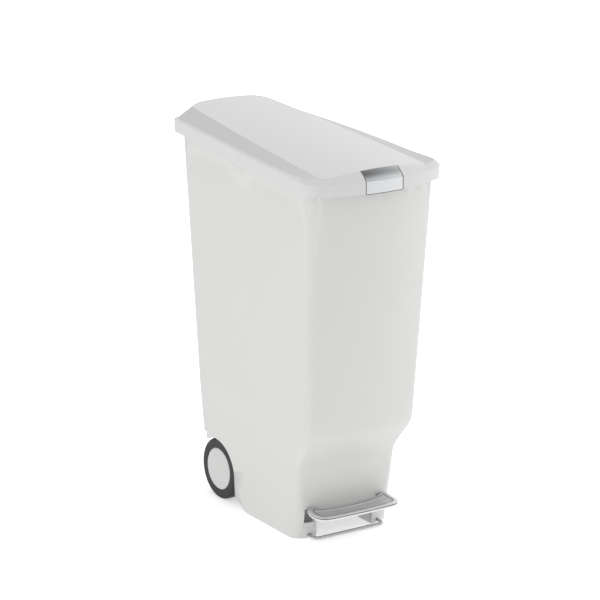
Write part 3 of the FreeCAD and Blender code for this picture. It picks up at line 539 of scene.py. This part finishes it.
tab_finish.feed("Roughness", 0.10 + tab_finish.noise(30.0, 2.0) * 0.05)
tab.data.materials.append(tab_finish.material)
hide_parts("finger_tab")
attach(tab, "lid")


# ---- Pedal -------------------------------------------------------------------------------------------
# A pressed steel tray: a polished rim rolled over outwards, a groove under it, a brushed dish inside, and
# two rear corners that reach back beside the bowed wall of the tub.
# GROOVE faces take the near-black painted shade, which stands in for the shadow in the tread's grooves.
BRUSHED, POLISHED, GROOVE = 0, 1, 2  # the tread's material slots
EAR_CURL = 3.0
DISH_HALF = 0.052                    # metres
DISH_STATION = 52.0
DISH_Z = 48.6
# (inset from the outline, height, slot of the faces above): up the rolled underside, round the rim and
# down into the dish
tread_profile = [
    (3.4, 44.4, POLISHED), (1.2, 44.0, POLISHED), (0.3, 44.6, POLISHED), (0.0, 45.8, POLISHED),
    (0.3, 47.0, POLISHED), (0.8, 47.4, GROOVE), (0.8, 48.9, GROOVE), (0.2, 49.1, BRUSHED),
    (0.3, 50.3, POLISHED), (1.2, 50.9, POLISHED), (3.2, 51.0, BRUSHED), (7.4, 50.8, GROOVE),
    (8.8, 50.6, BRUSHED), (9.6, 49.6, BRUSHED), (11.6, 49.1, BRUSHED), (14.0, 48.9, BRUSHED),
]
tread_columns = np.concatenate([-beyond[::-1], np.linspace(-1, 1, 9), beyond[:-1]])


def tread_ring(inset, z):
    """The tread's outline: a bowed front, round corners and a rear hollow between two ears that curl up."""
    loop = ring((78.0 - inset, 32.0 + inset, 3.5, 20.0 - inset),
                (77.0 - inset, 79.0 - inset, -9.5, max(7.0 - inset, 1.5)), 0.5, tread_columns)
    rearwards = np.clip((loop[:, 1] - 62.0) / 14.0, 0, 1)
    sideways = np.clip((np.abs(loop[:, 0]) - 52.0) / 14.0, 0, 1)
    curl = EAR_CURL * rearwards * sideways
    return row(loop[:, 0], loop[:, 1], z + curl)


rings = np.stack([tread_ring(inset, z) for inset, z, _ in tread_profile])
last = rings[-1]
dish_middle = np.stack([np.clip(last[:, 0], -DISH_HALF, DISH_HALF),
                        np.full(len(last), (DISH_STATION - MIDDLE) * 0.001),
                        np.full(len(last), DISH_Z * 0.001)], -1)
dish = last + (dish_middle - last) * np.linspace(0, 1, 9)[1:, None, None]
tread_points = np.concatenate([rings, dish])
tread_slots = np.full((len(tread_points) - 1, len(last)), BRUSHED)
tread_slots[:len(rings)] = np.array([slot for *_, slot in tread_profile])[:, None]
tread = skin("pedal_tray", tread_points, slots=tread_slots)
harden(tread, 0.0009, 0.0, 40.0, 2, even=False)
tread_finish = Finish("brushed_tread", (0.58, 0.58, 0.59), 0.34, 1.0)
brushing = tread_finish.noise(260.0, 3.0, (0.06, 1.0, 1.0))
tread_finish.feed("Roughness", 0.26 + brushing * 0.16)
tread_finish.feed("Base Color", tread_finish.blend(brushing, (0.56, 0.56, 0.57), (0.82, 0.82, 0.82)))
rim_finish = Finish("polished_rim", (0.78, 0.78, 0.78), 0.14, 1.0)
rim_finish.feed("Roughness", 0.10 + rim_finish.noise(40.0, 2.0) * 0.08)
tread.data.materials.append(tread_finish.material)
tread.data.materials.append(rim_finish.material)
tread.data.materials.append(gap_painted_shade_finish.material)
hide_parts("pedal_tread")
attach(tread, "pedal")


FRONT_TOP = 131.0


def leg_front(x, z):
    """Station of the tub's bowed front up to FRONT_TOP: an arc whose bow and place change with height."""
    share = z / FRONT_TOP
    half = 91.5 + 5.5 * share
    middle = 94.0 - 17.1 * share
    bow = 15.0 - 6.0 * share
    radius = (half ** 2 + bow ** 2) / (2 * bow)
    return middle - bow + radius - np.sqrt(radius ** 2 - x ** 2)


# The slots that the pedal's arms pass through are no taller than their travel: a sill and a lintel
# close the rest, flush with the bowed wall of each leg.
SLOT_X = (57.4, 76.6)
FILLERS = {"sill": (17.9, 26.8), "lintel": (50.4, 57.1)}
FILLER_WALL = 0.0029                 # metres
for side, sign in (("left", -1), ("right", 1)):
    for place, (low, high) in FILLERS.items():
        along = sign * np.linspace(*SLOT_X, 9)[::sign]
        up = np.linspace(low, high, 5)[:, None]
        filler = skin("slot_%s_%s" % (place, side), row(along, leg_front(along, up), up), closed=False)
        harden(filler, FILLER_WALL)
        filler.data.materials.append(shell_finish.material)
        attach(filler, "bin")


# ---- Wheels ------------------------------------------------------------------------------------------
# Black rubber tyres on grey hubs, each with a smooth pale disc snapped over it.
tyre_finish = Finish("tyre_rubber", tone(38), 0.6)
tyre_finish.feed("Roughness", 0.50 + tyre_finish.noise(60.0, 3.0) * 0.15)
tyre_finish.bump(tyre_finish.noise(500.0, 2.0), 0.12, 0.0003)
cap_finish = grain(Finish("disc_plastic", tone(212, (1.0, 1.0, 0.99)), 0.4))
outer_pieces = (("tyre_", tyre_finish, "tyre_rubber"), ("hub_cap_", cap_finish, "cap_plastic"))
for side in ("left", "right"):
    for node, finish, slot in outer_pieces:
        piece = smooth_copy(node + side, node + side + "_skin", 40.0)
        piece.data.materials.append(finish.material)
        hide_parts(node + side)
        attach(piece, "wheel_" + side)


# ---- Small parts -------------------------------------------------------------------------------------
# Plain drawn steel, zinc-plated strip, grey nylon, soft pads and the bright wire bar keep their packed
# shapes and only take a finish.
steel_finish = Finish("drawn_steel", (0.55, 0.55, 0.55), 0.3, 1.0)
steel_finish.feed("Roughness", 0.24 + steel_finish.noise(180.0, 2.0, (0.1, 1, 1)) * 0.18)
zinc_finish = Finish("zinc_plate", (0.60, 0.60, 0.61), 0.38, 1.0)
zinc_finish.feed("Roughness", 0.32 + zinc_finish.noise(45.0, 4.0) * 0.2)
nylon_finish = grain(Finish("grey_nylon", tone(178), 0.5))
wire_finish = Finish("bright_wire", (0.50, 0.50, 0.51), 0.12, 1.0)
wire_finish.feed("Roughness", 0.1 + wire_finish.noise(90.0, 2.0) * 0.1)
pad_finish = grain(Finish("soft_pad", tone(110), 0.7))
finishes = {"plain_steel": steel_finish, "zinc_steel": zinc_finish, "grey_plastic": nylon_finish,
            "bar_chrome": wire_finish, "soft_rubber": pad_finish, "tread_steel": tread_finish}
for part in frame["record"]["subparts"]:
    made = frame["nodes"][part["node"]]
    if part["material_slot"] in finishes:
        for index in range(len(made.data.materials)):
            made.data.materials[index] = finishes[part["material_slot"]].material
